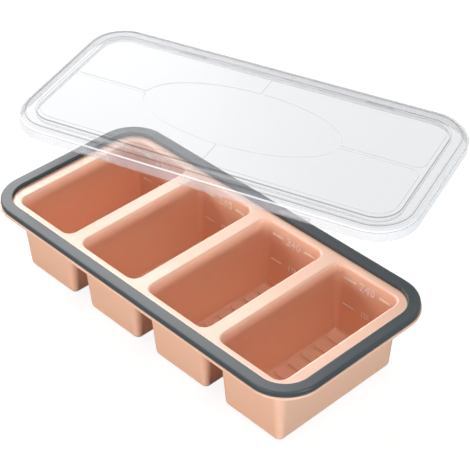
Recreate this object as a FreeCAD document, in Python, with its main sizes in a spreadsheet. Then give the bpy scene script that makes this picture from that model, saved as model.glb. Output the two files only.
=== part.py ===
# Freezer tray for portions of baby food: a soft four-cup tray with a stiff rim, and a clear lid.
#
# Frame: X along the row of cups, Y across it, Z up.  The origin lies on the table under the
# middle of the tray.  All sizes are in millimetres.

import FreeCAD, Part
import Sketcher
import math
import os

OUTPUT = "parts"

doc = FreeCAD.newDocument("freezer_tray")


# ---------------------------------------------------------------------------------------------
# Driving sizes.  Every size that can be chosen by itself has one row here.
# ---------------------------------------------------------------------------------------------

SIZES = [
    # the row of cups
    ("cup_count", 4, "cups in the row"),
    ("cup_gap", 8.6, "gap between two neighbouring cups under the deck"),
    ("cup_length", 56.2, "mouth of a cup along X, inside"),
    ("cup_width", 110.6, "mouth of a cup along Y, inside"),
    ("cup_corner", 2.8, "upright corner radius inside, at the floor"),
    ("cup_wall", 1.6, "thickness of the cup walls"),
    ("cup_floor", 2.4, "thickness of the cup floors"),
    ("cup_taper", 4.3, "draft of the cup walls in degrees"),
    ("cup_foot_round", 3.8, "rounding round the outside of a cup's foot"),
    ("cup_floor_bevel", 1.0, "bevel between wall and floor inside"),
    ("cup_mouth_bevel", 1.1, "bevel of the mouth edge on the deck"),
    # ribs on the floors
    ("rib_height", 1.2, "height of the ribs on a cup's floor"),
    ("rib_breadth", 9.8, "breadth of a rib"),
    ("rib_pitch", 12.6, "from rib to rib along Y"),
    ("rib_end_gap", 1.6, "from a rib to the walls"),
    # deck and flange
    ("deck_height", 56.2, "top of the deck above the table"),
    ("deck_end", 10.7, "deck between the last cup's mouth and the rim"),
    ("deck_side", 6.75, "deck between a cup's mouth and the long side of the rim"),
    ("flange_thick", 2.0, "thickness of the flange under the rim"),
    ("flange_drop", 0.8, "step from the deck down to the flange"),
    ("flange_reach", 0.8, "how far the flange stands out past the rim"),
    # stiff rim
    ("rim_corner", 28.0, "outside corner radius of the rim"),
    ("rim_band", 8.2, "breadth of the rim seen from above"),
    ("rim_rise", 3.0, "top of the rim above the deck"),
    ("rim_bevel", 0.9, "bevel of the rim's outer top edge"),
    ("rim_play", 0.15, "gap between the rim's inner wall and the deck"),
    # steel core in the rim's channel
    ("core_breadth", 4.8, "breadth of the flat steel bar"),
    ("core_thick", 1.6, "thickness of the flat steel bar"),
    ("core_play", 0.2, "gap all round the steel bar in its channel"),
    # lid
    ("lid_wall", 1.2, "thickness of the lid"),
    ("lid_play", 1.0, "gap between the lid's skirt and the flange"),
    ("lid_skirt_reach", 3.0, "how far the skirt hangs below the flange"),
    ("lid_top_bevel", 2.6, "bevel of the lid's outer top edge"),
    ("lid_bead_inset", 3.9, "from the skirt to the bead on the border"),
    ("lid_bead_breadth", 1.5, "breadth of the bead on the border"),
    ("lid_bead_height", 0.6, "height of the bead on the border"),
    ("lid_lip_play", 1.0, "gap between the lid's inner lip and the rim"),
    ("lid_lip_gap", 0.3, "gap between the lip's edge and the deck when the lid is on"),
    ("lid_panel_rise", 1.0, "height of the panel above the border"),
    ("lid_field_height", 0.6, "height of the four fields on the panel"),
    ("lid_field_margin", 3.0, "from the panel's edge to a field"),
    ("lid_field_groove", 2.4, "groove between two fields"),
    ("lid_field_corner", 7.0, "corner radius of a field beside a groove"),
    ("lid_oval_length", 152.0, "bare oval in the middle, along X"),
    ("lid_oval_width", 68.0, "bare oval in the middle, along Y"),
    ("catch_length", 22.0, "length of a catch inside the skirt"),
    ("catch_reach", 1.3, "how far a catch stands in from the skirt"),
    ("catch_height", 1.4, "height of a catch"),
    ("catch_place", 76.0, "from the middle of the lid to a catch along X"),
    ("catch_play", 0.3, "gap between a catch and the flange's underside"),
    # the lid as it is held beside the tray
    ("lid_turn", 19.2, "turn of the lifted lid about Z in degrees"),
    ("lid_dip", 0.75, "how far its +X end is tipped down, in degrees"),
    ("lid_tip", 1.2, "how far its far side is tipped up, in degrees"),
    ("lid_along", -44.6, "middle of the lifted lid along X"),
    ("lid_across", 80.3, "middle of the lifted lid along Y"),
    ("lid_rise", 40.9, "how far the lifted lid is above its closed place"),
]

sheet = doc.addObject("Spreadsheet::Sheet", "Sizes")
for row, (alias, value, note) in enumerate(SIZES, start=1):
    sheet.set(f"A{row}", alias)
    sheet.set(f"B{row}", str(value))
    sheet.set(f"C{row}", note)
    sheet.setAlias(f"B{row}", alias)
doc.recompute()


# Sizes that follow from the driving ones, as expressions on the sheet.

CUP_PITCH = "(Sizes.cup_length + 2 * Sizes.cup_wall + Sizes.cup_gap)"
ROW_SPAN = f"((Sizes.cup_count - 1) * {CUP_PITCH})"
FIRST_CUP = f"(-{ROW_SPAN} / 2)"
CUP_DEPTH = "(Sizes.deck_height - Sizes.cup_floor)"
DRAFT_IN = f"({CUP_DEPTH} * tan(Sizes.cup_taper * 1 deg))"
MOUTH_CORNER = f"(Sizes.cup_corner + {DRAFT_IN})"
MOUTH_SIZE = ("Sizes.cup_length", "Sizes.cup_width", MOUTH_CORNER)
FLOOR_LENGTH = f"(Sizes.cup_length - 2 * {DRAFT_IN})"
FLOOR_WIDTH = f"(Sizes.cup_width - 2 * {DRAFT_IN})"
RIB_ROOM = f"({FLOOR_WIDTH} - 2 * Sizes.rib_end_gap - Sizes.rib_breadth)"
RIB_COUNT = f"(floor({RIB_ROOM} / Sizes.rib_pitch) + 1)"
RIB_SPAN = f"(({RIB_COUNT} - 1) * Sizes.rib_pitch)"

FLANGE_TOP = "(Sizes.deck_height - Sizes.flange_drop)"
FLANGE_UNDERSIDE = f"({FLANGE_TOP} - Sizes.flange_thick)"
RIM_TOP = "(Sizes.deck_height + Sizes.rim_rise)"
RIM_HEIGHT = f"({RIM_TOP} - {FLANGE_TOP})"
RIM_LENGTH = f"({ROW_SPAN} + Sizes.cup_length + 2 * (Sizes.deck_end + Sizes.rim_band))"
RIM_WIDTH = "(Sizes.cup_width + 2 * (Sizes.deck_side + Sizes.rim_band))"
RIM_SIZE = (RIM_LENGTH, RIM_WIDTH, "Sizes.rim_corner")
CHANNEL_INSET = "((Sizes.rim_band - Sizes.core_breadth) / 2 - Sizes.core_play)"

LID_OVERHANG = "(Sizes.flange_reach + Sizes.lid_play + Sizes.lid_wall)"
LID_HEIGHT = f"(Sizes.lid_wall + {RIM_TOP} - {FLANGE_UNDERSIDE} + Sizes.lid_skirt_reach)"
LID_CEILING = f"({LID_HEIGHT} - Sizes.lid_wall)"
LID_CLOSED = f"({RIM_TOP} - {LID_CEILING})"
LID_BORDER = f"({LID_OVERHANG} + Sizes.rim_band + Sizes.lid_lip_play)"
LIP_EDGE = f"({LID_CEILING} - Sizes.rim_rise + Sizes.lid_lip_gap)"
PANEL_TOP = f"({LID_HEIGHT} + Sizes.lid_panel_rise)"
FIELD_GAPS = "(Sizes.lid_field_margin + Sizes.lid_field_groove / 2)"
CATCH_TOP = "(Sizes.lid_skirt_reach - Sizes.catch_play)"


# ---------------------------------------------------------------------------------------------
# Small helpers for sketches and features
# ---------------------------------------------------------------------------------------------

def number(expression):
    """The plain number that an expression on the sheet gives now."""
    value = sheet.evalExpression(expression)
    return float(getattr(value, "Value", value))


def shrunk(size, inset):
    """A rounded rectangle's length, width and corner radius, all drawn in by an inset."""
    length, width, corner = size
    return f"({length} - 2 * {inset})", f"({width} - 2 * {inset})", f"({corner} - {inset})"


def grown(size, reach):
    """The same, drawn out."""
    return shrunk(size, f"(0 - {reach})")


LID_SIZE = grown(RIM_SIZE, LID_OVERHANG)


def new_body(name):
    body = doc.addObject("PartDesign::Body", name)
    body.Label = name
    return body


def new_sketch(body, name, height="0", along="0"):
    """A sketch on the body's own XY plane, raised to a height and moved along X."""
    sketch = body.newObject("Sketcher::SketchObject", name)
    support = next(item for item in body.Origin.OriginFeatures if item.Role == "XY_Plane")
    sketch.AttachmentSupport = [(support, "")]
    sketch.MapMode = "FlatFace"
    sketch.setExpression("AttachmentOffset.Base.z", height)
    sketch.setExpression("AttachmentOffset.Base.x", along)
    return sketch


def bind(sketch, constraint, name, expression):
    """Adds a dimension, names it and ties it to the sheet."""
    index = sketch.addConstraint(constraint)
    sketch.renameConstraint(index, name)
    sketch.setExpression(f"Constraints.{name}", expression)


def place(sketch, name, sides, length, width, middle_x, middle_y):
    """Puts a rectangle's middle where two expressions say, by its right and its back side."""
    bottom, right, top = sides
    if middle_x == "0" and middle_y == "0":
        sketch.addConstraint(Sketcher.Constraint("Symmetric", bottom, 1, top, 1, -1, 1))
        return
    reach_x = f"({middle_x} + {length} / 2)"
    reach_y = f"({middle_y} + {width} / 2)"
    bind(sketch, Sketcher.Constraint("DistanceX", -1, 1, right, 1, number(reach_x)),
         f"{name}_right", reach_x)
    bind(sketch, Sketcher.Constraint("DistanceY", -1, 1, top, 1, number(reach_y)),
         f"{name}_back", reach_y)


def rectangle(sketch, name, length, width, middle_x="0", middle_y="0"):
    """Four lines about a middle point, sized by expressions."""
    x0 = number(middle_x)
    y0 = number(middle_y)
    long_half = number(length) / 2
    wide_half = number(width) / 2
    first = sketch.GeometryCount
    signs = [(-1, -1), (1, -1), (1, 1), (-1, 1)]
    corners = [FreeCAD.Vector(x0 + sx * long_half, y0 + sy * wide_half, 0) for sx, sy in signs]
    for side in range(4):
        sketch.addGeometry(Part.LineSegment(corners[side], corners[(side + 1) % 4]))
    for side in range(4):
        following = first + (side + 1) % 4
        sketch.addConstraint(Sketcher.Constraint("Coincident", first + side, 2, following, 1))
        direction = "Vertical" if side % 2 else "Horizontal"
        sketch.addConstraint(Sketcher.Constraint(direction, first + side))
    bind(sketch, Sketcher.Constraint("DistanceX", first, 1, first, 2, 2 * long_half),
         f"{name}_length", length)
    bind(sketch, Sketcher.Constraint("DistanceY", first + 1, 1, first + 1, 2, 2 * wide_half),
         f"{name}_width", width)
    place(sketch, name, (first, first + 1, first + 2), length, width, middle_x, middle_y)


def rounded_rectangle(sketch, name, length, width, corner, middle_x="0", middle_y="0",
                      far_corner=None):
    """Four lines and four arcs about a middle point, sized by expressions.

    The arc that is farthest along X and Y can have a radius of its own.
    """
    long_half = number(length) / 2
    wide_half = number(width) / 2
    radii = [number(corner)] * 4
    if far_corner:
        radii[1] = number(far_corner)
    x0 = number(middle_x)
    y0 = number(middle_y)
    first = sketch.GeometryCount
    point = FreeCAD.Vector
    arcs = []
    for turn, (side_x, side_y) in enumerate([(1, -1), (1, 1), (-1, 1), (-1, -1)]):
        radius = radii[turn]
        centre = point(x0 + side_x * (long_half - radius), y0 + side_y * (wide_half - radius), 0)
        start_angle = math.radians(90 * turn - 90)
        arcs.append(Part.ArcOfCircle(Part.Circle(centre, point(0, 0, 1), radius),
                                     start_angle, start_angle + math.pi / 2))
    for turn in range(4):
        sketch.addGeometry(Part.LineSegment(arcs[turn - 1].EndPoint, arcs[turn].StartPoint))
    for arc in arcs:
        sketch.addGeometry(arc)
    for side in range(4):
        line = first + side
        arc = first + 4 + side
        following = first + (side + 1) % 4
        sketch.addConstraint(Sketcher.Constraint("Tangent", line, 2, arc, 1))
        sketch.addConstraint(Sketcher.Constraint("Tangent", arc, 2, following, 1))
    sketch.addConstraint(Sketcher.Constraint("Horizontal", first))
    sketch.addConstraint(Sketcher.Constraint("Horizontal", first + 2))
    sketch.addConstraint(Sketcher.Constraint("Vertical", first + 1))
    sketch.addConstraint(Sketcher.Constraint("Vertical", first + 3))
    for side in (2, 3) if far_corner else (1, 2, 3):
        sketch.addConstraint(Sketcher.Constraint("Equal", first + 4, first + 4 + side))
    if far_corner:
        bind(sketch, Sketcher.Constraint("Radius", first + 5, radii[1]), f"{name}_far_corner",
             far_corner)
    bind(sketch, Sketcher.Constraint("DistanceX", first + 3, 1, first + 1, 1, 2 * long_half),
         f"{name}_length", length)
    bind(sketch, Sketcher.Constraint("DistanceY", first, 1, first + 2, 1, 2 * wide_half),
         f"{name}_width", width)
    bind(sketch, Sketcher.Constraint("Radius", first + 4, radii[0]), f"{name}_corner", corner)
    place(sketch, name, (first, first + 1, first + 2), length, width, middle_x, middle_y)


def ellipse(sketch, name, length, width):
    """An ellipse about the sketch's origin, long along X."""
    half_length = number(length) / 2
    half_width = number(width) / 2
    point = FreeCAD.Vector
    centre = point(0, 0, 0)
    curve = Part.Ellipse(point(half_length, 0, 0), point(0, half_width, 0), centre)
    first = sketch.addGeometry(curve)
    sketch.exposeInternalGeometry(first)
    major = first + 1
    minor = first + 2
    sketch.addConstraint(Sketcher.Constraint("Coincident", first, 3, -1, 1))
    sketch.addConstraint(Sketcher.Constraint("Horizontal", major))
    bind(sketch, Sketcher.Constraint("Distance", major, 2 * half_length), f"{name}_length", length)
    bind(sketch, Sketcher.Constraint("Distance", minor, 2 * half_width), f"{name}_width", width)


def pad(body, sketch, name, length, downward=False, taper=None):
    feature = body.newObject("PartDesign::Pad", name)
    feature.Profile = sketch
    feature.setExpression("Length", length)
    feature.Reversed = downward
    if taper is not None:
        feature.setExpression("TaperAngle", taper)
    return feature


def pocket(body, sketch, name, depth, upward=False, taper=None):
    """A pocket goes down from its sketch unless it is turned upward."""
    feature = body.newObject("PartDesign::Pocket", name)
    feature.Profile = sketch
    feature.setExpression("Length", depth)
    feature.Reversed = upward
    if taper is not None:
        feature.setExpression("TaperAngle", taper)
    return feature


def repeat_along(body, originals, name, axis, length, occurrences):
    """A row of copies of features along one axis of the body."""
    pattern = body.newObject("PartDesign::LinearPattern", name)
    pattern.Originals = originals
    line = next(item for item in body.Origin.OriginFeatures if item.Role == axis)
    pattern.Direction = (line, [""])
    pattern.setExpression("Length", length)
    pattern.setExpression("Occurrences", occurrences)
    body.Tip = pattern
    return pattern


def mirror_both_ways(body, feature, name):
    """Copies a feature of one quarter to the other three."""
    group = body.newObject("PartDesign::MultiTransform", name)
    group.Originals = [feature]
    mirrors = []
    for role in ("YZ_Plane", "XZ_Plane"):
        mirror = body.newObject("PartDesign::Mirrored", f"{name}_{role[:2].lower()}")
        plane = next(item for item in body.Origin.OriginFeatures if item.Role == role)
        mirror.MirrorPlane = (plane, [""])
        mirrors.append(mirror)
    group.Transformations = mirrors
    body.Tip = group
    return group


def edges_of(body, chosen):
    """The body's last feature and the names of its edges for which chosen(edge) holds."""
    doc.recompute()
    edges = enumerate(body.Tip.Shape.Edges, start=1)
    return body.Tip, [f"Edge{i}" for i, edge in edges if chosen(edge)]


def round_edges(body, name, chosen, radius):
    base = edges_of(body, chosen)
    feature = body.newObject("PartDesign::Fillet", name)
    feature.Base = base
    feature.setExpression("Radius", radius)
    return feature


def bevel_edges(body, name, chosen, size):
    base = edges_of(body, chosen)
    feature = body.newObject("PartDesign::Chamfer", name)
    feature.Base = base
    feature.setExpression("Size", size)
    return feature


TOUCH = 0.01


def lies_at(edge, height):
    """True where an edge lies flat at a height."""
    box = edge.BoundBox
    return abs(box.ZMin - height) < TOUCH and abs(box.ZMax - height) < TOUCH


# ---------------------------------------------------------------------------------------------
# Tray: one soft moulding.  Cups hang from a deck, and a flange round it carries the rim.
# ---------------------------------------------------------------------------------------------

def make_tray():
    body = new_body("tray_body")

    flange = new_sketch(body, "flange_outline", FLANGE_UNDERSIDE)
    rounded_rectangle(flange, "flange", *grown(RIM_SIZE, "Sizes.flange_reach"))
    pad(body, flange, "flange", "Sizes.flange_thick")

    deck = new_sketch(body, "deck_outline", FLANGE_TOP)
    rounded_rectangle(deck, "deck", *shrunk(RIM_SIZE, "(Sizes.rim_band + Sizes.rim_play)"))
    pad(body, deck, "deck", "Sizes.flange_drop")

    shell = new_sketch(body, "cup_outside", "Sizes.deck_height", FIRST_CUP)
    rounded_rectangle(shell, "outside", *grown(MOUTH_SIZE, "Sizes.cup_wall"))
    cup = pad(body, shell, "cup", "Sizes.deck_height", downward=True,
              taper="-Sizes.cup_taper * 1 deg")
    repeat_along(body, [cup], "cup_row", "X_Axis", ROW_SPAN, "Sizes.cup_count")

    mouth = new_sketch(body, "cup_inside", "Sizes.deck_height", FIRST_CUP)
    rounded_rectangle(mouth, "inside", *MOUTH_SIZE)
    hollow = pocket(body, mouth, "hollow", CUP_DEPTH, taper="-Sizes.cup_taper * 1 deg")
    repeat_along(body, [hollow], "hollow_row", "X_Axis", ROW_SPAN, "Sizes.cup_count")

    floor = number("Sizes.cup_floor")
    top = number("Sizes.deck_height")
    row_half = number(f"({ROW_SPAN} + Sizes.cup_length) / 2 + Sizes.cup_wall")
    side_half = number("Sizes.cup_width / 2 + Sizes.cup_wall")

    def in_row(edge):
        box = edge.BoundBox
        return max(box.XMax, -box.XMin) < row_half and max(box.YMax, -box.YMin) < side_half

    round_edges(body, "foot_round", lambda edge: lies_at(edge, 0), "Sizes.cup_foot_round")
    bevel_edges(body, "floor_bevel", lambda edge: lies_at(edge, floor), "Sizes.cup_floor_bevel")
    bevel_edges(body, "mouth_bevel", lambda edge: lies_at(edge, top) and in_row(edge),
                "Sizes.cup_mouth_bevel")

    ribs = new_sketch(body, "rib_outline", "Sizes.cup_floor", FIRST_CUP)
    rectangle(ribs, "rib", f"({FLOOR_LENGTH} - 2 * Sizes.rib_end_gap)", "Sizes.rib_breadth",
              "0", f"(-{RIB_SPAN} / 2)")
    rib = pad(body, ribs, "rib", "Sizes.rib_height")
    grid = body.newObject("PartDesign::MultiTransform", "rib_grid")
    grid.Originals = [rib]
    steps = [("Y_Axis", RIB_SPAN, RIB_COUNT), ("X_Axis", ROW_SPAN, "Sizes.cup_count")]
    rows = []
    for axis, length, occurrences in steps:
        row = body.newObject("PartDesign::LinearPattern", f"rib_row_{axis[0].lower()}")
        line = next(item for item in body.Origin.OriginFeatures if item.Role == axis)
        row.Direction = (line, [""])
        row.setExpression("Length", length)
        row.setExpression("Occurrences", occurrences)
        rows.append(row)
    grid.Transformations = rows
    body.Tip = grid
    return body


# ---------------------------------------------------------------------------------------------
# Rim: a stiff frame with a channel in its underside, standing on the flange round the deck
# ---------------------------------------------------------------------------------------------

def make_rim():
    body = new_body("rim_frame")
    outline = new_sketch(body, "rim_outline", FLANGE_TOP)
    rounded_rectangle(outline, "outer", *RIM_SIZE)
    rounded_rectangle(outline, "inner", *shrunk(RIM_SIZE, "Sizes.rim_band"))
    pad(body, outline, "frame", RIM_HEIGHT)

    channel = new_sketch(body, "channel_outline", FLANGE_TOP)
    rounded_rectangle(channel, "outer", *shrunk(RIM_SIZE, CHANNEL_INSET))
    rounded_rectangle(channel, "inner", *shrunk(RIM_SIZE, f"(Sizes.rim_band - {CHANNEL_INSET})"))
    pocket(body, channel, "channel", "Sizes.core_thick + Sizes.core_play", upward=True)

    top = number(RIM_TOP)
    middle_x = number(f"({RIM_LENGTH} - Sizes.rim_band) / 2")
    middle_y = number(f"({RIM_WIDTH} - Sizes.rim_band) / 2")

    def is_outer(edge):
        box = edge.BoundBox
        return max(box.XMax, -box.XMin) > middle_x or max(box.YMax, -box.YMin) > middle_y

    bevel_edges(body, "outer_bevel", lambda edge: lies_at(edge, top) and is_outer(edge),
                "Sizes.rim_bevel")
    return body


# ---------------------------------------------------------------------------------------------
# Core: a flat steel bar bent into a frame, which lies in the rim's channel
# ---------------------------------------------------------------------------------------------

def make_core():
    body = new_body("steel_core")
    outline = new_sketch(body, "core_outline", FLANGE_TOP)
    inset = f"({CHANNEL_INSET} + Sizes.core_play)"
    rounded_rectangle(outline, "outer", *shrunk(RIM_SIZE, inset))
    rounded_rectangle(outline, "inner", *shrunk(RIM_SIZE, f"({inset} + Sizes.core_breadth)"))
    pad(body, outline, "bar", "Sizes.core_thick")
    return body


# ---------------------------------------------------------------------------------------------
# Lid: a clear moulding.  Its border lies on the rim, its skirt goes round the flange, and its
# lip goes down inside the rim.  It is drawn about its own middle, with the skirt's edge at zero.
# ---------------------------------------------------------------------------------------------

def make_lid():
    body = new_body("lid")
    skirt = new_sketch(body, "skirt_outline")
    rounded_rectangle(skirt, "skirt", *LID_SIZE)
    pad(body, skirt, "skirt", LID_HEIGHT)

    panel = new_sketch(body, "panel_outline", LID_HEIGHT)
    rounded_rectangle(panel, "panel", *shrunk(LID_SIZE, LID_BORDER))
    pad(body, panel, "panel", "Sizes.lid_panel_rise")

    inside = new_sketch(body, "inside_outline")
    rounded_rectangle(inside, "inside", *shrunk(LID_SIZE, "Sizes.lid_wall"))
    pocket(body, inside, "inside", LID_CEILING, upward=True)

    hollow = new_sketch(body, "hollow_outline", LID_CEILING)
    rounded_rectangle(hollow, "hollow", *shrunk(LID_SIZE, f"({LID_BORDER} + Sizes.lid_wall)"))
    pocket(body, hollow, "hollow", "Sizes.lid_panel_rise", upward=True)

    lip = new_sketch(body, "lip_outline", LIP_EDGE)
    rounded_rectangle(lip, "outer", *shrunk(LID_SIZE, LID_BORDER))
    rounded_rectangle(lip, "inner", *shrunk(LID_SIZE, f"({LID_BORDER} + Sizes.lid_wall)"))
    pad(body, lip, "lip", f"{LID_CEILING} - {LIP_EDGE} + Sizes.lid_wall / 2")

    bead = new_sketch(body, "bead_outline", LID_HEIGHT)
    rounded_rectangle(bead, "outer", *shrunk(LID_SIZE, "Sizes.lid_bead_inset"))
    rounded_rectangle(bead, "inner",
                      *shrunk(LID_SIZE, "(Sizes.lid_bead_inset + Sizes.lid_bead_breadth)"))
    pad(body, bead, "bead", "Sizes.lid_bead_height")

    catch = new_sketch(body, "catch_outline", f"{CATCH_TOP} - Sizes.catch_height")
    breadth = "(Sizes.catch_reach + Sizes.lid_wall / 2)"
    catch_line = f"({LID_SIZE[1]} / 2 - Sizes.lid_wall - Sizes.catch_reach + {breadth} / 2)"
    rectangle(catch, "catch", "Sizes.catch_length", breadth, "Sizes.catch_place", catch_line)
    mirror_both_ways(body, pad(body, catch, "catch", "Sizes.catch_height"), "catches")

    field = new_sketch(body, "field_outline", PANEL_TOP)
    field_length = f"({LID_SIZE[0]} / 2 - {LID_BORDER} - {FIELD_GAPS})"
    field_width = f"({LID_SIZE[1]} / 2 - {LID_BORDER} - {FIELD_GAPS})"
    rounded_rectangle(field, "field", field_length, field_width, "Sizes.lid_field_corner",
                      f"(Sizes.lid_field_groove / 2 + {field_length} / 2)",
                      f"(Sizes.lid_field_groove / 2 + {field_width} / 2)",
                      f"({LID_SIZE[2]} - {LID_BORDER} - Sizes.lid_field_margin)")
    mirror_both_ways(body, pad(body, field, "field", "Sizes.lid_field_height"), "fields")

    oval = new_sketch(body, "oval_outline", f"{PANEL_TOP} + Sizes.lid_field_height")
    ellipse(oval, "oval", "Sizes.lid_oval_length", "Sizes.lid_oval_width")
    pocket(body, oval, "oval", "Sizes.lid_field_height")

    height = number(LID_HEIGHT)
    ceiling = number(LID_CEILING)
    rim_line = number(f"{LID_SIZE[1]} / 2 - Sizes.lid_bead_inset / 2")
    rim_end = number(f"{LID_SIZE[0]} / 2 - Sizes.lid_bead_inset / 2")

    def at_skirt(edge):
        box = edge.BoundBox
        return max(box.XMax, -box.XMin) > rim_end or max(box.YMax, -box.YMin) > rim_line

    bevel_edges(body, "outer_bevel", lambda edge: lies_at(edge, height) and at_skirt(edge),
                "Sizes.lid_top_bevel")
    bevel_edges(body, "inner_bevel", lambda edge: lies_at(edge, ceiling) and at_skirt(edge),
                "Sizes.lid_top_bevel - (2 - sqrt(2)) * Sizes.lid_wall")
    return body


def hold_lid_off(body):
    """Puts the closed lid beside the tray, lifted, turned and a little tipped."""
    turn = FreeCAD.Rotation(FreeCAD.Vector(0, 0, 1), number("Sizes.lid_turn"))
    dip = FreeCAD.Rotation(FreeCAD.Vector(0, 1, 0), number("Sizes.lid_dip"))
    tip = FreeCAD.Rotation(FreeCAD.Vector(1, 0, 0), number("Sizes.lid_tip"))
    body.Placement = FreeCAD.Placement(FreeCAD.Vector(0, 0, 0), turn * dip * tip)
    body.setExpression("Placement.Base.x", "Sizes.lid_along")
    body.setExpression("Placement.Base.y", "Sizes.lid_across")
    body.setExpression("Placement.Base.z", f"{LID_CLOSED} + Sizes.lid_rise")


# ---------------------------------------------------------------------------------------------
# Build, check and write
# ---------------------------------------------------------------------------------------------

def check(bodies):
    """Stops on a failed feature or a bad solid."""
    for item in doc.Objects:
        if "Invalid" in item.State or "Error" in item.State:
            raise RuntimeError(f"{item.Name} failed: {item.State}")
    for body in bodies:
        shape = body.Shape
        if shape.isNull() or not shape.isValid() or len(shape.Solids) != 1:
            raise RuntimeError(f"{body.Label} is not one valid solid")


def main():
    bodies = [make_tray(), make_rim(), make_core(), make_lid()]
    hold_lid_off(bodies[-1])
    doc.recompute()
    check(bodies)
    os.makedirs(OUTPUT, exist_ok=True)
    for body in bodies:
        body.Shape.exportStep(os.path.join(OUTPUT, f"{body.Label}.step"))
        print(f"{body.Label}: {body.Shape.Volume:.0f} mm3")


main()
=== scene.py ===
import math

import bmesh
import bpy
from mathutils import Matrix, Vector
from mathutils.geometry import delaunay_2d_cdt


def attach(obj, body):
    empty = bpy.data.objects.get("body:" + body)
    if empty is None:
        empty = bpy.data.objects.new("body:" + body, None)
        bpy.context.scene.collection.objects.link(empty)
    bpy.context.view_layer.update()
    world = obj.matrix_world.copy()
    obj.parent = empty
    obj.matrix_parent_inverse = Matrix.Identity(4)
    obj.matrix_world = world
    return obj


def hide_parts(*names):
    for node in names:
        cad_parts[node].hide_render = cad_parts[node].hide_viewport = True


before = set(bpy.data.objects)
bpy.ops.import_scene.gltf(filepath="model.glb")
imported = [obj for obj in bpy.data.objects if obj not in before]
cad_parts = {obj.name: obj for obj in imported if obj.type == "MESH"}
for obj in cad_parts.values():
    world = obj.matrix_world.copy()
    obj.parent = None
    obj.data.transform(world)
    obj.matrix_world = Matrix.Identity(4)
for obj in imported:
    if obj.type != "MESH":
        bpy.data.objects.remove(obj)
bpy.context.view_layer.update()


# ---------------------------------------------------------------------------------------------
# Silicone of the tray.  Food-grade silicone, pigmented peach and moulded satin, that lets a
# little light in.  Its colour is painted deeper from the deck's height down to the table,
# inside the cups and out: a painted shade.
# ---------------------------------------------------------------------------------------------

class Wire:
    """An output socket.  Arithmetic on wires and numbers adds Math nodes."""

    def __init__(self, tree, socket):
        self.tree = tree
        self.socket = socket

    def out(self, name):
        """Another output of the same node."""
        return Wire(self.tree, self.socket.node.outputs[name])

    def math(self, operation, *values):
        """A Math node on the values, in their order."""
        sockets = dict(enumerate(values))
        return self.tree.node("ShaderNodeMath", {"operation": operation}, sockets)

    def __add__(self, other):
        return self.math("ADD", self, other)

    def __sub__(self, other):
        return self.math("SUBTRACT", self, other)

    def __rsub__(self, other):
        return self.math("SUBTRACT", other, self)

    def __mul__(self, other):
        return self.math("MULTIPLY", self, other)

    def __truediv__(self, other):
        return self.math("DIVIDE", self, other)

    def __pow__(self, other):
        return self.math("POWER", self, other)

    __radd__ = __add__
    __rmul__ = __mul__


class Tree:
    """A node tree that is filled by node()."""

    def __init__(self, tree):
        self.tree = tree
        self.tree.nodes.clear()

    def node(self, kind, settings=None, sockets=None):
        """Adds a node: its settings first, then a value, a wire or several wires per socket."""
        made = self.tree.nodes.new(kind)
        for name, value in (settings or {}).items():
            setattr(made, name, value)
        for name, value in (sockets or {}).items():
            wires = value if isinstance(value, list) else [value]
            if not isinstance(wires[0], Wire):
                made.inputs[name].default_value = value
                continue
            for wire in wires:
                self.tree.links.new(wire.socket, made.inputs[name])
        outputs = [socket for socket in made.outputs if socket.enabled]
        return Wire(self, outputs[0]) if outputs else None


class Finish(Tree):
    """A material, with the few nodes that most finishes share."""

    def __init__(self, name):
        self.material = bpy.data.materials.new(name)
        self.material.use_nodes = True
        super().__init__(self.material.node_tree)
        self.place = self.node("ShaderNodeTexCoord").out("Object")

    def noise(self, scale, detail=2.0, rough=0.5, place=None):
        """A share that wanders about one half."""
        sockets = {"Vector": place or self.place, "Scale": scale, "Detail": detail,
                   "Roughness": rough}
        return self.node("ShaderNodeTexNoise", {"noise_dimensions": "3D"}, sockets)

    def blend(self, share, low, high):
        """A colour between two, by a share from 0 to 1."""
        mix = self.node("ShaderNodeMix", {"data_type": "RGBA"},
                        {"Factor": share, 6: low, 7: high})
        return mix.out(2)

    def bump(self, height, strength, distance):
        """A normal that follows a height, which rises by the distance in metres."""
        return self.node("ShaderNodeBump", {},
                         {"Height": height, "Strength": strength, "Distance": distance})

    def surface(self, sockets):
        """Ends the material in a Principled shader."""
        shader = self.node("ShaderNodeBsdfPrincipled", {}, sockets)
        self.node("ShaderNodeOutputMaterial", {}, {"Surface": shader})
        return self.material


PEACH = (0.925, 0.570, 0.420, 1.0)
PEACH_WARM = (0.910, 0.540, 0.385, 1.0)
PEACH_PAINTED_SHADE = (0.870, 0.505, 0.345, 1.0)
PAINTED_SHADE_TOP = 0.056
MOULD_CLOUD = 16.0
MOULD_GRAIN = 2400.0
GRAIN_DEPTH = 0.00006
GRAIN_ROUGHNESS = 0.12
SOAK_RADIUS = (1.0, 0.36, 0.16)

finish = Finish("silicone_peach")
cloud = finish.noise(MOULD_CLOUD, 3.0)
grain = finish.noise(MOULD_GRAIN, 2.0)
height = finish.node("ShaderNodeSeparateXYZ", {}, {"Vector": finish.place}).out("Z")
# Painted shade: the base colour is blended towards a deeper orange the lower a point lies.
painted_shade = 1.0 - height / PAINTED_SHADE_TOP
peach = finish.blend(cloud, PEACH, PEACH_WARM)
silicone = finish.surface({
    "Base Color": finish.blend(painted_shade, peach, PEACH_PAINTED_SHADE),
    "Roughness": 0.32 + (grain - 0.5) * GRAIN_ROUGHNESS + (cloud - 0.5) * 0.06,
    "Normal": finish.bump(grain, 0.10, GRAIN_DEPTH),
    "Specular IOR Level": 0.75,
    "Subsurface Weight": 0.18,
    "Subsurface Radius": SOAK_RADIUS,
    "Subsurface Scale": 0.0035,
})


# ---------------------------------------------------------------------------------------------
# Tray.  One soft moulding: a row of tapered cups hangs from a flat deck, and a thin flange goes
# round it under the rim.  It comes out of its mould with a radius on every edge.
# ---------------------------------------------------------------------------------------------

MM = 0.001
SAME_PLACE = 0.001
OUTLINE_SLACK = 1e-5
LEAST_CORNER = 0.3

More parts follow.
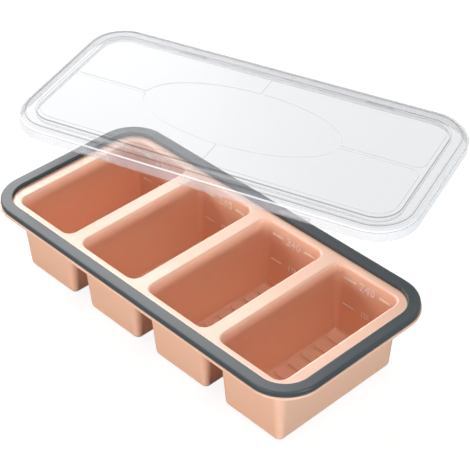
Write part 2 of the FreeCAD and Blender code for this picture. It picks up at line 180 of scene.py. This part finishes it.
cup_count = 4
cup_gap = 8.6
cup_length = 56.2
cup_width = 110.6
cup_corner = 2.8
cup_wall = 1.6
cup_floor = 2.4
cup_draft = math.tan(math.radians(4.3))
deck_top = 56.2
deck_end = 10.7
deck_side = 6.75
rim_band = 8.2
rim_corner = 28.0
rim_play = 0.15
flange_drop = 0.8
flange_thick = 2.0
flange_reach = 0.8

cup_pitch = cup_length + 2 * cup_wall + cup_gap
cup_middles = [(place - (cup_count - 1) / 2) * cup_pitch for place in range(cup_count)]
floor_inset = (deck_top - cup_floor) * cup_draft
mouth_corner = cup_corner + floor_inset
rim_length = (cup_count - 1) * cup_pitch + cup_length + 2 * (deck_end + rim_band)
rim_width = cup_width + 2 * (deck_side + rim_band)
flange_top = deck_top - flange_drop
flange_under = flange_top - flange_thick
root_inset = (deck_top - flange_under) * cup_draft
foot_inset = deck_top * cup_draft


def rounded_path(corners, steps=6):
    """Points along a path of (across, height, radius) corners, with arcs at the inner ones."""
    points = [Vector(corner[:2]) for corner in corners]
    path = [points[0]]
    for index in range(1, len(points) - 1):
        middle, radius = points[index], corners[index][2]
        if radius == 0:
            path.append(middle)
            continue
        back = (points[index - 1] - middle).normalized()
        ahead = (points[index + 1] - middle).normalized()
        half = back.angle(ahead) / 2
        centre = middle + (back + ahead).normalized() * (radius / math.sin(half))
        start = middle + back * (radius / math.tan(half)) - centre
        end = middle + ahead * (radius / math.tan(half)) - centre
        arc = math.pi - 2 * half
        for step in range(steps + 1):
            part = step / steps
            share = (math.sin((1 - part) * arc), math.sin(part * arc))
            path.append(centre + (start * share[0] + end * share[1]) / math.sin(arc))
    path.append(points[-1])
    return path


def rounded_ring(form, size, height, middle=0.0, steps=10):
    """A loop of vertices on a rounded rectangle (length, width, corner), seen from above."""
    length, width, corner = size
    corner = max(corner, LEAST_CORNER)
    ring = []
    for turn, (side_x, side_y) in enumerate([(1, -1), (1, 1), (-1, 1), (-1, -1)]):
        centre_x = middle + side_x * (length / 2 - corner)
        centre_y = side_y * (width / 2 - corner)
        for step in range(steps + 1):
            angle = math.radians(90 * (turn - 1 + step / steps))
            spot = (centre_x + corner * math.cos(angle), centre_y + corner * math.sin(angle))
            ring.append(form.verts.new((*spot, height)))
    return ring


def skin(form, rings):
    """Faces between each ring and the next."""
    for low, high in zip(rings, rings[1:]):
        for index in range(len(low)):
            after = (index + 1) % len(low)
            form.faces.new((low[index], low[after], high[after], high[index]))


def wall(form, size, path, middle=0.0, steps=10):
    """A wall whose section is a path of (inset, height) points round a rounded rectangle."""
    length, width, corner = size
    rings = []
    for inset, height in path:
        drawn_in = (length - 2 * inset, width - 2 * inset, corner - inset)
        rings.append(rounded_ring(form, drawn_in, height, middle, steps))
    skin(form, rings)
    return rings[0], rings[-1]


def cover(form, *rings):
    """Flat triangles inside the first ring and outside the others."""
    corners = []
    outlines = []
    for ring in rings:
        outlines.append(list(range(len(corners), len(corners) + len(ring))))
        corners += ring
    places = [corner.co.xy for corner in corners]
    only_inside = 1
    found = delaunay_2d_cdt(places, [], outlines, only_inside, OUTLINE_SLACK)
    triangles, corner_sources, outline_sources = found[2], found[3], found[5]
    for triangle, source in zip(triangles, outline_sources):
        if source == [0]:
            form.faces.new([corners[corner_sources[index][0]] for index in triangle])


def moulded(form, name, material):
    """Brings the form from millimetres to metres, as an object with smooth radii and even flats."""
    form.transform(Matrix.Scale(MM, 4))
    bmesh.ops.recalc_face_normals(form, faces=form.faces)
    if any(not edge.is_manifold for edge in form.edges):
        raise RuntimeError(f"{name} has an open edge")
    mesh = bpy.data.meshes.new(name)
    form.to_mesh(mesh)
    form.free()
    mesh.shade_smooth()
    mesh.materials.append(material)
    piece = bpy.data.objects.new(name, mesh)
    bpy.context.scene.collection.objects.link(piece)
    piece.modifiers.new("even_flats", "WEIGHTED_NORMAL").keep_sharp = True
    return piece


mouth_round = 1.6
floor_round = 2.0
foot_round = 3.8
root_round = 1.5
edge_round = 0.35
flat_margin = 0.3

form = bmesh.new()
deck_holes = []
flange_holes = []
for middle in cup_middles:
    inside = rounded_path([
        (-mouth_round - flat_margin, deck_top, 0),
        (0, deck_top, mouth_round),
        (floor_inset, cup_floor, floor_round),
        (floor_inset + floor_round + flat_margin, cup_floor, 0),
    ])
    mouth, floor = wall(form, (cup_length, cup_width, mouth_corner), inside, middle)
    cover(form, floor)
    deck_holes.append(mouth)

    outside = rounded_path([
        (root_inset - root_round - flat_margin, flange_under, 0),
        (root_inset, flange_under, root_round),
        (foot_inset, 0, foot_round),
        (foot_inset + foot_round + flat_margin, 0, 0),
    ])
    outer = (cup_length + 2 * cup_wall, cup_width + 2 * cup_wall, mouth_corner + cup_wall)
    root, foot = wall(form, outer, outside, middle)
    cover(form, foot)
    flange_holes.append(root)

seat_inset = rim_band + rim_play
edge = rounded_path([
    (seat_inset + edge_round + flat_margin, deck_top, 0),
    (seat_inset, deck_top, edge_round),
    (seat_inset, flange_top, 0),
    (-flange_reach, flange_top, edge_round),
    (-flange_reach, flange_under, edge_round),
    (-flange_reach + edge_round + flat_margin, flange_under, 0),
], 3)
deck, underside = wall(form, (rim_length, rim_width, rim_corner), edge, steps=24)
cover(form, deck, *deck_holes)
cover(form, underside, *flange_holes)

tray = moulded(form, "tray_moulding", silicone)
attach(tray, "tray")
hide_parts("tray_body")


# ---------------------------------------------------------------------------------------------
# Ribs on the cups' floors.  Low bars of the same silicone, moulded in one with the floor, that
# keep a frozen portion from sticking flat to it.
# ---------------------------------------------------------------------------------------------

class Growth(Tree):
    """A geometry tree with named inputs, which leaves a plain mesh behind."""

    KINDS = {float: "NodeSocketFloat", int: "NodeSocketInt", str: "NodeSocketString",
             bpy.types.Material: "NodeSocketMaterial"}

    def __init__(self, name, **inputs):
        super().__init__(bpy.data.node_groups.new(name, "GeometryNodeTree"))
        self.inputs = inputs
        for key, value in inputs.items():
            kind = self.KINDS[type(value)]
            self.tree.interface.new_socket(key, in_out="INPUT", socket_type=kind)
        self.tree.interface.new_socket("Geometry", in_out="OUTPUT",
                                       socket_type="NodeSocketGeometry")
        self.group = self.node("NodeGroupInput")

    def __getitem__(self, key):
        """The wire of a named input."""
        return self.group.out(key)

    def vector(self, x=0.0, y=0.0, z=0.0):
        """A vector of wires or numbers."""
        return self.node("ShaderNodeCombineXYZ", {}, {0: x, 1: y, 2: z})

    def slab(self, curve, thickness):
        """A closed plate on a flat outline."""
        face = self.node("GeometryNodeFillCurve", {"mode": "NGONS"}, {"Curve": curve})
        plate = self.node("GeometryNodeExtrudeMesh", {},
                          {"Mesh": face, "Offset Scale": thickness, "Individual": False})
        back = self.node("GeometryNodeFlipFaces", {}, {"Mesh": face})
        both = self.node("GeometryNodeJoinGeometry", {}, {"Geometry": [plate, back]})
        return self.node("GeometryNodeMergeByDistance", {}, {0: both, "Distance": SAME_PLACE})

    def bar(self, length, breadth, round_share, thickness):
        """A flat bar with rounded ends."""
        outline = self.node("GeometryNodeCurvePrimitiveQuadrilateral", {},
                            {"Width": length, "Height": breadth})
        rounded = self.node("GeometryNodeFilletCurve", {"mode": "POLY"},
                            {"Curve": outline, "Radius": breadth * round_share, "Count": 4})
        return self.slab(rounded, thickness)

    def moved(self, geometry, offset, turn=(0.0, 0.0, 0.0)):
        """The geometry turned about the origin and then moved."""
        return self.node("GeometryNodeTransform", {},
                         {"Geometry": geometry, "Translation": offset, "Rotation": turn})

    def row(self, thing, count, step):
        """Copies in a row about the middle, by a step along X or Y."""
        first = self.node("ShaderNodeVectorMath", {"operation": "SCALE"},
                          {0: step, "Scale": (count - 1) * -0.5})
        line = self.node("GeometryNodeMeshLine", {},
                         {"Count": count, "Start Location": first, "Offset": step})
        return self.node("GeometryNodeInstanceOnPoints", {},
                         {"Points": line, "Instance": thing})

    def grow(self, name, geometry, material):
        """Ends the tree, runs it and brings its result from millimetres to metres."""
        small = self.node("GeometryNodeTransform", {}, {"Geometry": geometry, "Scale": (MM,) * 3})
        real = self.node("GeometryNodeRealizeInstances", {}, {"Geometry": small})
        done = self.node("GeometryNodeSetMaterial", {}, {"Geometry": real, "Material": material})
        self.node("NodeGroupOutput", {}, {"Geometry": done})
        piece = bpy.data.objects.new(name, bpy.data.meshes.new(name))
        bpy.context.scene.collection.objects.link(piece)
        modifier = piece.modifiers.new(name, "NODES")
        modifier.node_group = self.tree
        for item in self.tree.interface.items_tree:
            if item.in_out == "INPUT":
                modifier[item.identifier] = self.inputs[item.name]
        bpy.context.view_layer.update()
        made = piece.evaluated_get(bpy.context.evaluated_depsgraph_get())
        mesh = bpy.data.meshes.new_from_object(made)
        piece.modifiers.clear()
        piece.data = mesh
        mesh.name = name
        return piece


def softened(piece, radius, segments=2):
    """Takes the sharpness off a piece's edges."""
    bevel = piece.modifiers.new("soft_edges", "BEVEL")
    bevel.width = radius
    bevel.segments = segments
    bevel.limit_method = "ANGLE"
    piece.data.shade_smooth()
    piece.modifiers.new("even_flats", "WEIGHTED_NORMAL").keep_sharp = True


rib_height = 1.2
rib_breadth = 9.8
rib_pitch = 12.6
rib_end_gap = 1.6
rib_sink = 0.3
rib_end_round = 0.34
rib_edge_round = 0.6

finish = Finish("silicone_ribs")
cloud = finish.noise(MOULD_CLOUD, 3.0)
grain = finish.noise(MOULD_GRAIN, 2.0)
rib_silicone = finish.surface({
    "Base Color": finish.blend(cloud, PEACH, PEACH_WARM),
    "Roughness": 0.42 + (grain - 0.5) * GRAIN_ROUGHNESS,
    "Normal": finish.bump(grain, 0.10, GRAIN_DEPTH),
    "Specular IOR Level": 0.9,
    "Subsurface Weight": 0.1,
    "Subsurface Radius": SOAK_RADIUS,
    "Subsurface Scale": 0.002,
})

rib_length = cup_length - 2 * floor_inset - 2 * rib_end_gap
rib_room = cup_width - 2 * floor_inset - 2 * rib_end_gap - rib_breadth

growth = Growth("floor_ribs", Length=rib_length, Breadth=rib_breadth,
                Height=rib_height + rib_sink, Rows=int(rib_room / rib_pitch) + 1,
                Step=rib_pitch, Cups=cup_count, Pitch=cup_pitch, Floor=cup_floor - rib_sink,
                Silicone=rib_silicone)
rib = growth.bar(growth["Length"], growth["Breadth"], rib_end_round, growth["Height"])
rows = growth.row(rib, growth["Rows"], growth.vector(y=growth["Step"]))
cups = growth.row(rows, growth["Cups"], growth.vector(x=growth["Pitch"]))
placed = growth.moved(cups, growth.vector(z=growth["Floor"]))
ribs = growth.grow("floor_ribs", placed, growth["Silicone"])
softened(ribs, rib_edge_round * MM, 3)
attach(ribs, "tray")


# ---------------------------------------------------------------------------------------------
# Fill marks.  Two raised lines on the far wall of every cup, each broken by a plain number that
# gives the millilitres up to it.  They are moulded in one with the wall.
# ---------------------------------------------------------------------------------------------

mark_height = 47.3
half_mark_drop = 21.0
mark_raise = 0.6
mark_sink = 0.25
dash_length = 9.6
dash_breadth = 1.3
dash_place = 15.2
dash_end_round = 0.3
number_size = 8.6
small_number_size = 4.8
letter_spacing = 1.1
mark_edge_round = 0.1

draft_angle = math.atan(cup_draft)
mark_wall = cup_width / 2 - (deck_top - mark_height) * cup_draft

# Painted highlight: the raised marks are painted paler than the wall, for the light their faces
# catch.
MARK_PAINTED_HIGHLIGHT = (1.0, 0.84, 0.76, 1.0)

finish = Finish("silicone_marks")
grain = finish.noise(MOULD_GRAIN, 2.0)
mark_silicone = finish.surface({
    "Base Color": finish.blend(grain * 0.4, MARK_PAINTED_HIGHLIGHT, PEACH),
    "Roughness": 0.55 + (grain - 0.5) * GRAIN_ROUGHNESS,
    "Specular IOR Level": 1.0,
    "Subsurface Weight": 0.7,
    "Subsurface Radius": SOAK_RADIUS,
    "Subsurface Scale": 0.001,
})

growth = Growth("fill_marks", Full="240", Half="120", Size=number_size,
                SmallSize=small_number_size, Dash=dash_length, Breadth=dash_breadth,
                Thick=mark_raise + mark_sink, Cups=cup_count, Pitch=cup_pitch,
                Silicone=mark_silicone)
marks = []
for text, size, drop, slimming in [("Full", "Size", 0.0, 1.0),
                                   ("Half", "SmallSize", half_mark_drop, 0.5)]:
    string = growth.node("GeometryNodeStringToCurves", {"align_x": "CENTER", "align_y": "MIDDLE"},
                         {"String": growth[text], "Size": growth[size],
                          "Character Spacing": letter_spacing})
    letters = growth.node("GeometryNodeRealizeInstances", {}, {"Geometry": string})
    marks.append(growth.moved(growth.slab(letters, growth["Thick"]), (0.0, -drop, 0.0)))
    for side in (-1, 1):
        dash = growth.bar(growth["Dash"], growth["Breadth"] * slimming, dash_end_round,
                          growth["Thick"])
        marks.append(growth.moved(dash, (side * dash_place, -drop, 0.0)))
group = growth.node("GeometryNodeJoinGeometry", {}, {"Geometry": marks})
sunk = growth.moved(group, (0.0, 0.0, -mark_sink))
upright = growth.moved(sunk, (0.0, mark_wall, mark_height),
                       (math.pi / 2 - draft_angle, 0.0, 0.0))
row = growth.row(upright, growth["Cups"], growth.vector(x=growth["Pitch"]))
marks = growth.grow("fill_marks", row, growth["Silicone"])
softened(marks, mark_edge_round * MM)
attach(marks, "tray")


# ---------------------------------------------------------------------------------------------
# Rim.  A stiff dark frame round the deck that keeps the soft row flat when it is carried full.
# It is moulded over the steel core, which lies in the channel in its underside.
# ---------------------------------------------------------------------------------------------

SLATE = (0.047, 0.058, 0.065, 1.0)
SLATE_WORN = (0.061, 0.073, 0.080, 1.0)

finish = Finish("rim_slate")
cloud = finish.noise(22.0, 3.0)
grain = finish.noise(2600.0, 2.0)
slate = finish.surface({
    "Base Color": finish.blend(cloud, SLATE, SLATE_WORN),
    "Roughness": 0.25 + (grain - 0.5) * GRAIN_ROUGHNESS,
    "Normal": finish.bump(grain, 0.12, GRAIN_DEPTH),
    "Specular IOR Level": 0.25,
})

rim_rise = 3.0
rim_top = deck_top + rim_rise
outer_round = 1.1
inner_round = 0.4
core_breadth = 4.8
core_thick = 1.6
core_play = 0.2
channel_inset = (rim_band - core_breadth) / 2 - core_play
channel_top = flange_top + core_thick + core_play

form = bmesh.new()
section = rounded_path([
    (channel_inset, flange_top, 0),
    (0, flange_top, 0),
    (0, rim_top, outer_round),
    (rim_band, rim_top, inner_round),
    (rim_band, flange_top, 0),
    (rim_band - channel_inset, flange_top, 0),
    (rim_band - channel_inset, channel_top, 0),
    (channel_inset, channel_top, 0),
    (channel_inset, flange_top, 0),
])
wall(form, (rim_length, rim_width, rim_corner), section, steps=32)
bmesh.ops.remove_doubles(form, verts=form.verts, dist=SAME_PLACE)
rim = moulded(form, "rim_ring", slate)
rim.data.set_sharp_from_angle(angle=math.radians(50))
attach(rim, "tray")
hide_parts("rim_frame")


# ---------------------------------------------------------------------------------------------
# Steel core.  A flat bar bent round and welded into a frame.  It fills the rim's channel, so
# it shows only where the tray is taken apart.
# ---------------------------------------------------------------------------------------------

STEEL = (0.50, 0.50, 0.51, 1.0)
STEEL_PALE = (0.62, 0.62, 0.63, 1.0)

finish = Finish("core_steel")
stretched = finish.node("ShaderNodeMapping", {}, {"Vector": finish.place,
                                                  "Scale": (1.0, 1.0, 60.0)})
brushed = finish.noise(180.0, 4.0, 0.6, stretched)
steel = finish.surface({
    "Base Color": finish.blend(brushed, STEEL, STEEL_PALE),
    "Roughness": 0.30 + brushed * 0.18,
    "Normal": finish.bump(brushed, 0.2, 0.00002),
    "Metallic": 1.0,
})
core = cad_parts["steel_core"]
core.data.materials.clear()
core.data.materials.append(steel)


# ---------------------------------------------------------------------------------------------
# Lid.  A thin clear moulding: a skirt goes round the flange, a lip reaches down inside the rim,
# and the raised panel has four low fields about a bare oval.  Catches inside the skirt hold it.
# ---------------------------------------------------------------------------------------------

CLEAR = (0.375, 0.395, 0.42, 1.0)
# Painted light: the lid's side walls are painted paler than its level faces.
CLEAR_WALL_PAINTED_LIGHT = (0.58, 0.58, 0.61, 1.0)
# Painted shade: narrow slopes are painted dark, painted lines for the steps' refraction; their
# extra density is real.
CLEAR_EDGE_PAINTED_SHADE = (0.07, 0.08, 0.085, 1.0)
# Painted highlight: the foot of the top bevel is painted white, a painted glint.
CLEAR_PAINTED_GLINT = (0.95, 0.95, 0.95, 1.0)
WALL_DENSITY = 0.27
FLAT_THINNING = 0.05
SLANT_DENSITY = 0.08
EDGE_DENSITY = 0.32
PAINTED_GLINT_DENSITY = 0.50
SHADOW_THINNING = 0.75

finish = Finish("lid_clear")
facing = finish.node("ShaderNodeLayerWeight", {}, {"Blend": 0.35}).out("Facing")
edge = finish.node("ShaderNodeAttribute", {"attribute_name": "edge"}).out("Fac")
flat = finish.node("ShaderNodeAttribute", {"attribute_name": "flat"}).out("Fac")
glint = finish.node("ShaderNodeAttribute", {"attribute_name": "glint"}).out("Fac")
cloud = finish.noise(9.0, 2.0)
shadow = finish.node("ShaderNodeLightPath").out("Is Shadow Ray")
density = (WALL_DENSITY - flat * FLAT_THINNING + facing ** 3.0 * SLANT_DENSITY
           + edge * EDGE_DENSITY + glint * PAINTED_GLINT_DENSITY)
plain = finish.blend(flat, CLEAR_WALL_PAINTED_LIGHT, CLEAR)
lit = finish.blend(glint, plain, CLEAR_PAINTED_GLINT)
clear = finish.surface({
    "Base Color": finish.blend(edge, lit, CLEAR_EDGE_PAINTED_SHADE),
    "Roughness": 0.22 + cloud * 0.06,
    "Alpha": density * (1.0 - shadow * SHADOW_THINNING),
    "IOR": 1.49,
    "Specular IOR Level": 0.2,
})

lid_wall = 1.2
lid_height = 10.0
lid_overhang = 2.98
lid_top_bevel = 2.6
glint_height = 1.0
skirt_edge_round = 0.4
bead_inset = 3.9
bead_breadth = 1.5
bead_height = 0.6
bead_slope = 0.3
lid_border = 12.2
lip_edge = 6.1
panel_rise = 1.0
field_height = 0.6
field_margin = 3.0
field_groove = 2.4
field_corner = 7.0
field_root_round = 0.18
oval_length = 152.0
oval_width = 68.0
small_round = 0.3
step_slope = 0.25
catch_length = 22.0
catch_reach = 1.3
catch_height = 1.4
catch_top = 2.7
catch_place = 76.0

lid_size = (rim_length + 2 * lid_overhang, rim_width + 2 * lid_overhang,
            rim_corner + lid_overhang)
panel_top = lid_height + panel_rise
bevel_foot = lid_height - lid_top_bevel
ceiling = lid_height - lid_wall
inner_bevel = lid_top_bevel - (2 - math.sqrt(2)) * lid_wall


def field_outline(inset, corner_steps=8, oval_steps=32):
    """One field's outline drawn in by an inset, in the quarter where X and Y are positive."""
    low = field_groove / 2 + inset
    right = lid_size[0] / 2 - lid_border - field_margin - inset
    back = lid_size[1] / 2 - lid_border - field_margin - inset
    half_length = oval_length / 2 + inset
    half_width = oval_width / 2 + inset
    outer_corner = lid_size[2] - lid_border - field_margin
    corners = [(right, low, field_corner), (right, back, outer_corner), (low, back, field_corner)]
    outline = []
    for turn, (x, y, corner) in enumerate(corners):
        radius = corner - inset
        centre_x = x + (radius if turn == 2 else -radius)
        centre_y = y + (radius if turn == 0 else -radius)
        for step in range(corner_steps + 1):
            angle = math.radians(90 * (turn - 1 + step / corner_steps))
            outline.append((centre_x + radius * math.cos(angle),
                            centre_y + radius * math.sin(angle)))
    first = math.acos(low / half_length)
    last = math.asin(low / half_width)
    for step in range(oval_steps + 1):
        angle = first + (last - first) * step / oval_steps
        outline.append((half_length * math.cos(angle), half_width * math.sin(angle)))
    return outline


def field_ring(form, inset, height, signs):
    """A loop of vertices on the outline, mirrored into one of the four quarters."""
    points = [(x * signs[0], y * signs[1]) for x, y in field_outline(inset)]
    if signs[0] * signs[1] < 0:
        points.reverse()
    return [form.verts.new((x, y, height)) for x, y in points]


form = bmesh.new()
over = rounded_path([
    (lid_wall / 2, 0, 0),
    (0, 0, skirt_edge_round),
    (0, bevel_foot, small_round),
    (glint_height, bevel_foot + glint_height, 0),
    (lid_top_bevel, lid_height, small_round),
    (bead_inset, lid_height, small_round),
    (bead_inset + bead_slope, lid_height + bead_height, small_round),
    (bead_inset + bead_breadth - bead_slope, lid_height + bead_height, small_round),
    (bead_inset + bead_breadth, lid_height, small_round),
    (lid_border, lid_height, small_round),
    (lid_border + step_slope, panel_top, small_round),
    (lid_border + step_slope + 2 * small_round, panel_top, 0),
], 4)
_, panel = wall(form, lid_size, over, steps=24)
under = rounded_path([
    (lid_wall / 2, 0, 0),
    (lid_wall, 0, skirt_edge_round),
    (lid_wall, ceiling - inner_bevel, small_round),
    (lid_wall + inner_bevel, ceiling, small_round),
    (lid_border, ceiling, small_round),
    (lid_border, lip_edge, skirt_edge_round),
    (lid_border + lid_wall, lip_edge, skirt_edge_round),
    (lid_border + lid_wall, ceiling + panel_rise, small_round),
    (lid_border + lid_wall + 2 * small_round, ceiling + panel_rise, 0),
], 4)
_, inner_panel = wall(form, lid_size, under, steps=24)
cover(form, inner_panel)

field_steps = rounded_path([
    (-small_round, panel_top, 0),
    (0, panel_top, field_root_round),
    (field_height / 2, panel_top + field_height, small_round),
    (field_height / 2 + 2 * small_round, panel_top + field_height, 0),
], 3)
field_holes = []
for signs in [(1, 1), (-1, 1), (-1, -1), (1, -1)]:
    rings = [field_ring(form, inset, height, signs) for inset, height in field_steps]
    skin(form, rings)
    cover(form, rings[-1])
    field_holes.append(rings[0])
cover(form, panel, *field_holes)
bmesh.ops.remove_doubles(form, verts=form.verts, dist=SAME_PLACE)

for side_x in (-1, 1):
    for side_y in (-1, 1):
        catch_y = lid_size[1] / 2 - lid_wall - catch_reach / 2
        spot = (side_x * catch_place, side_y * catch_y, catch_top - catch_height / 2)
        size = Matrix.Diagonal((catch_length, catch_reach + lid_wall / 2, catch_height, 1.0))
        bmesh.ops.create_cube(form, size=1.0, matrix=Matrix.Translation(spot) @ size)

# The finish reads three shares from the faces: how level each one is, whether it lies on a
# narrow slope, and whether it lies on the foot of the top bevel.  These carry painted light:
# paler painted walls, painted dark lines on the slopes and a painted white glint on the bevel's
# foot.
narrowest_plain = 1.2
field_line = 0.4
steep, slanted, level = 0.05, 0.3, 0.95

bmesh.ops.recalc_face_normals(form, faces=form.faces)
edge = form.faces.layers.float.new("edge")
flat = form.faces.layers.float.new("flat")
glint = form.faces.layers.float.new("glint")
for face in form.faces:
    upward = face.normal.z
    height = face.calc_center_median().z
    face[flat] = abs(upward)
    if upward > slanted and bevel_foot < height < bevel_foot + glint_height:
        face[glint] = 1.0
    narrow = min(side.calc_length() for side in face.edges) < narrowest_plain
    if narrow and steep < upward < level:
        face[edge] = field_line if height > panel_top else 1.0

lid_turn = math.radians(19.2)
lid_dip = math.radians(0.75)
lid_tip = math.radians(1.2)
lid_spot = Vector((-44.6, 80.3, 91.3))

held = (Matrix.Translation(lid_spot) @ Matrix.Rotation(lid_turn, 4, "Z")
        @ Matrix.Rotation(lid_dip, 4, "Y") @ Matrix.Rotation(lid_tip, 4, "X"))
form.transform(held)
lid = moulded(form, "lid_cover", clear)
lid.data.set_sharp_from_angle(angle=math.radians(60))
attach(lid, "lid")
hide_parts("lid")


# ---------------------------------------------------------------------------------------------
# Table and light.  The table and the room are white to the camera, through the clear lid and in
# a gloss, and give little light.  Soft lamps stand above, at the left and low all round.
# ---------------------------------------------------------------------------------------------

SEEN_GLOW = (0.87, 0.87, 0.87, 1.0)
FAR_GLOW = (1.0, 1.0, 1.0, 1.0)
SEEN_WHITE = (0.25, 0.25, 0.25, 1.0)
TABLE_WHITE = (0.05, 0.05, 0.05, 1.0)
ROOM_WHITE = (1.0, 1.0, 1.0, 1.0)
ROOM_LIGHT = 0.02

lit_reach = 0.3
painted_shade_reach = 0.25
table_half = 6.0
table_drop = 0.2 * MM
lamp_aim = Vector((0.0, 0.03, 0.04))


def seen(tree):
    """1 for rays that show the white of a backdrop, and less for a gloss from close to it: a
    painted shadow near the object.
    """
    rays = tree.node("ShaderNodeLightPath")
    clear_of_painted_shade = rays.math("MINIMUM", (rays.out("Ray Length") / painted_shade_reach) ** 2.0, 1.0)
    glint = rays.out("Is Glossy Ray") * clear_of_painted_shade
    through = rays.math("MAXIMUM", rays.out("Is Camera Ray"), rays.out("Is Transmission Ray"))
    return rays.math("MAXIMUM", through, glint)


finish = Finish("table_white")
plain = finish.node("ShaderNodeBsdfDiffuse", {}, {"Color": TABLE_WHITE})
pale = finish.node("ShaderNodeBsdfDiffuse", {}, {"Color": SEEN_WHITE})
from_middle = finish.node("ShaderNodeVectorMath", {"operation": "LENGTH"}, {0: finish.place})
glow = finish.node("ShaderNodeEmission", {},
                   {"Color": finish.blend(from_middle - lit_reach, SEEN_GLOW, FAR_GLOW)})
shown = finish.node("ShaderNodeAddShader", {}, {0: pale, 1: glow})
mixed = finish.node("ShaderNodeMixShader", {}, {0: seen(finish), 1: plain, 2: shown})
finish.node("ShaderNodeOutputMaterial", {}, {"Surface": mixed})

form = bmesh.new()
bmesh.ops.create_grid(form, x_segments=1, y_segments=1, size=table_half,
                      matrix=Matrix.Translation((0.0, 0.0, -table_drop)))
mesh = bpy.data.meshes.new("table")
form.to_mesh(mesh)
form.free()
mesh.materials.append(finish.material)
table = bpy.data.objects.new("table", mesh)
bpy.context.scene.collection.objects.link(table)

world = bpy.data.worlds.new("room")
world.use_nodes = True
room = Tree(world.node_tree)
bright = seen(room) * (1.0 - ROOM_LIGHT) + ROOM_LIGHT
backdrop = room.node("ShaderNodeBackground", {}, {"Color": ROOM_WHITE, "Strength": bright})
room.node("ShaderNodeOutputWorld", {}, {"Surface": backdrop})
bpy.context.scene.world = world


def soft_lamp(name, spot, width, height, power, colour=(1.0, 1.0, 1.0)):
    """A rectangular lamp that points at the middle of the object."""
    lamp = bpy.data.lights.new(name, "AREA")
    lamp.shape = "RECTANGLE"
    lamp.size = width
    lamp.size_y = height
    lamp.energy = power
    lamp.color = colour
    holder = bpy.data.objects.new(name, lamp)
    aim = lamp_aim - Vector(spot)
    holder.matrix_world = (Matrix.Translation(spot)
                           @ aim.to_track_quat("-Z", "Y").to_matrix().to_4x4())
    bpy.context.scene.collection.objects.link(holder)


soft_lamp("top_lamp", (0.50, -0.20, 1.4), 0.5, 0.5, 4.2)
soft_lamp("far_lamp", (-1.10, 0.38, 1.0), 1.15, 1.15, 25.0)
soft_lamp("left_lamp", (-1.10, -0.80, 0.80), 0.5, 0.5, 5.0)
soft_lamp("near_lamp", (0.10, -1.30, 0.14), 0.9, 0.26, 14.5)
soft_lamp("end_lamp", (1.30, 0.0, 0.14), 0.5, 0.26, 13.0, (0.82, 0.93, 1.0))
soft_lamp("back_lamp", (-0.80, 1.10, 0.18), 0.9, 0.30, 9.0)


# ---------------------------------------------------------------------------------------------
# Camera.  It looks down on the near right corner, from about a metre off.
# ---------------------------------------------------------------------------------------------

view_azimuth = math.radians(46.65)
view_elevation = math.radians(37.674)
view_roll = math.radians(-0.659)
view_distance = 1.0731
view_target = Vector((-0.01635, 0.04681, 0.03303))
lens = 116.29

back = Vector((math.sin(view_azimuth) * math.cos(view_elevation),
               -math.cos(view_azimuth) * math.cos(view_elevation),
               math.sin(view_elevation)))
camera_data = bpy.data.cameras.new("camera")
camera_data.lens = lens
camera_data.sensor_width = 36.0
camera = bpy.data.objects.new("camera", camera_data)
camera.matrix_world = (Matrix.Translation(view_target + back * view_distance)
                       @ back.to_track_quat("Z", "Y").to_matrix().to_4x4()
                       @ Matrix.Rotation(view_roll, 4, "Z"))
bpy.context.scene.collection.objects.link(camera)
bpy.context.scene.camera = camera
bpy.context.scene.view_settings.view_transform = "Standard"
